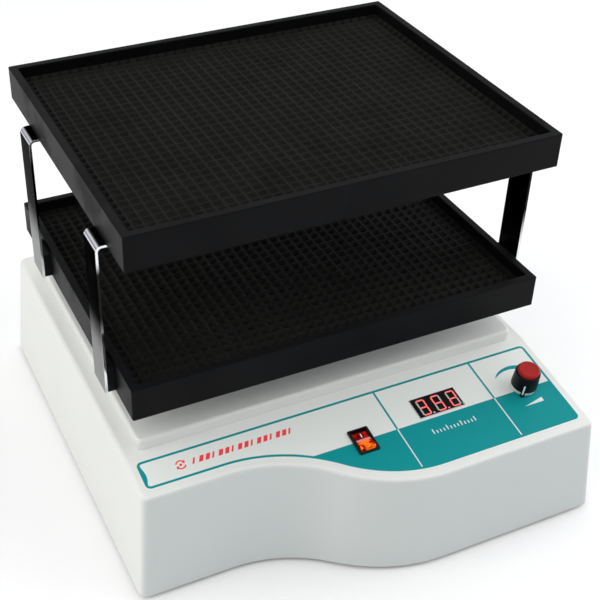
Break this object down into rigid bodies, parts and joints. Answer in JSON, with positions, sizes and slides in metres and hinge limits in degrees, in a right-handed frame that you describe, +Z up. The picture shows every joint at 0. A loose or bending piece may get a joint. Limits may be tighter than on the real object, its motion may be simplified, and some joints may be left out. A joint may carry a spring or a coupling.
{
  "type": "orbital shaker",
  "caption": "Benchtop laboratory orbital shaker with stacked waffle-floored trays on an eccentric drive, sloped panel with knob, rocker switch and speed display.",
  "frame": {"origin": "centre of the housing's footprint, on the surface under the feet", "axes": "+X to the right of a person at the panel, +Y to the back, +Z up"},
  "size_m": [0.3676, 0.3916, 0.3005],
  "materials": {
    "housing_white": "satin, fine moulded",
    "label_print": "printed polyester film",
    "zinc_steel": "zinc plated",
    "cast_aluminium": "machined",
    "bearing_steel": "ground",
    "shaft_steel": "ground",
    "screw_steel": "zinc plated",
    "foot_rubber": "matt",
    "seal_rubber": "matt",
    "tray_black": "satin moulded",
    "mat_rubber": "matt moulded",
    "chrome_bar": "bright",
    "motor_case": "satin",
    "switch_black": "satin",
    "rocker_red": "translucent gloss, lit",
    "display_black": "gloss",
    "circuit_green": "solder mask",
    "component_black": "moulded",
    "knob_black": "satin",
    "knob_silver": "satin",
    "knob_red": "satin",
    "core_steel": "laminated",
    "winding_tape": "polyester tape",
    "pin_brass": "plated",
    "fuse_glass": "clear"
  },
  "bodies": {
    "base": {"base_plate": "zinc_steel", "bearing_hubs": "cast_aluminium", "board_components": "component_black", "board_standoffs": "component_black", "chassis_pillars": "cast_aluminium", "chassis_plate": "cast_aluminium", "chassis_screws": "screw_steel", "control_board": "circuit_green", "cover_screws": "screw_steel", "display_board": "circuit_green", "display_module": "display_black", "drive_belt": "seal_rubber", "foot_nuts": "screw_steel", "housing_shell": "housing_white", "hub_seals": "seal_rubber", "inlet_pins": "pin_brass", "motor": "motor_case", "motor_bracket": "zinc_steel", "panel_label": "label_print", "potentiometer": "component_black", "potentiometer_nut": "screw_steel", "power_inlet": "switch_black", "rubber_feet": "foot_rubber", "shaft_bearings": "bearing_steel", "switch_body": "switch_black", "switch_terminals": "zinc_steel", "transformer_core": "core_steel", "transformer_winding": "winding_tape"},
    "crank": {"drive_shaft": "shaft_steel", "driven_pulley": "cast_aluminium", "drive_crank": "shaft_steel", "counterweight": "shaft_steel", "weight_screws": "screw_steel"},
    "platform": {"carrier_plate": "zinc_steel", "pin_bearing_seats": "cast_aluminium", "pin_bearings": "bearing_steel", "platform_screws": "screw_steel", "flange_nuts": "screw_steel", "lower_tray": "tray_black", "lower_mat": "mat_rubber", "support_plate": "zinc_steel", "upper_tray": "tray_black", "upper_mat": "mat_rubber", "bracket_front_left": "chrome_bar", "bracket_front_right": "chrome_bar", "bracket_back_left": "chrome_bar", "bracket_back_right": "chrome_bar", "bracket_spacers": "tray_black"},
    "idler_left": {"idler_crank_left": "shaft_steel"},
    "idler_right": {"idler_crank_right": "shaft_steel"},
    "idler_back": {"idler_crank_back": "shaft_steel"},
    "motor_rotor": {"motor_shaft": "shaft_steel", "motor_pulley": "cast_aluminium"},
    "speed_knob": {"potentiometer_shaft": "shaft_steel", "knob_ring": "knob_silver", "knob_body": "knob_black", "knob_cap": "knob_red"},
    "power_rocker": {"rocker": "rocker_red"},
    "fuse_holder": {"fuse_drawer": "switch_black", "fuse": "fuse_glass"}
  },
  "joints": [
    {"name": "crank_spin", "type": "hinge", "parent": "base", "child": "crank", "pos_m": [0, 0.043, 0.094], "axis": [0, 0, 1], "continuous": true},
    {"name": "platform_swivel", "type": "hinge", "parent": "crank", "child": "platform", "pos_m": [0, 0.033, 0.138], "axis": [0, 0, 1], "continuous": true},
    {"name": "idler_left_spin", "type": "hinge", "parent": "base", "child": "idler_left", "pos_m": [-0.112, -0.019, 0.1], "axis": [0, 0, 1], "continuous": true},
    {"name": "idler_right_spin", "type": "hinge", "parent": "base", "child": "idler_right", "pos_m": [0.112, -0.019, 0.1], "axis": [0, 0, 1], "continuous": true},
    {"name": "idler_back_spin", "type": "hinge", "parent": "base", "child": "idler_back", "pos_m": [0, 0.135, 0.1], "axis": [0, 0, 1], "continuous": true},
    {"name": "motor_spin", "type": "hinge", "parent": "base", "child": "motor_rotor", "pos_m": [-0.088, 0.043, 0.07], "axis": [0, 0, 1], "continuous": true},
    {"name": "speed_knob_turn", "type": "hinge", "parent": "base", "child": "speed_knob", "pos_m": [0.1436, -0.13836, 0.09588], "axis": [0, -0.1582, 0.9874], "range_deg": [-290, 10]},
    {"name": "rocker_tilt", "type": "hinge", "parent": "base", "child": "power_rocker", "pos_m": [-0.0024, -0.14025, 0.09375], "axis": [1, 0, 0], "range_deg": [0, 18]},
    {"name": "fuse_drawer_slide", "type": "slide", "parent": "base", "child": "fuse_holder", "axis": [0, 0.9969, 0.0785], "range_m": [0, 0.02]}
  ],
  "couplings": [
    {"joint": "platform_swivel", "follows": "crank_spin", "ratio": -1},
    {"joint": "idler_left_spin", "follows": "crank_spin", "ratio": 1},
    {"joint": "idler_right_spin", "follows": "crank_spin", "ratio": 1},
    {"joint": "idler_back_spin", "follows": "crank_spin", "ratio": 1},
    {"joint": "motor_spin", "follows": "crank_spin", "ratio": 5}
  ]
}
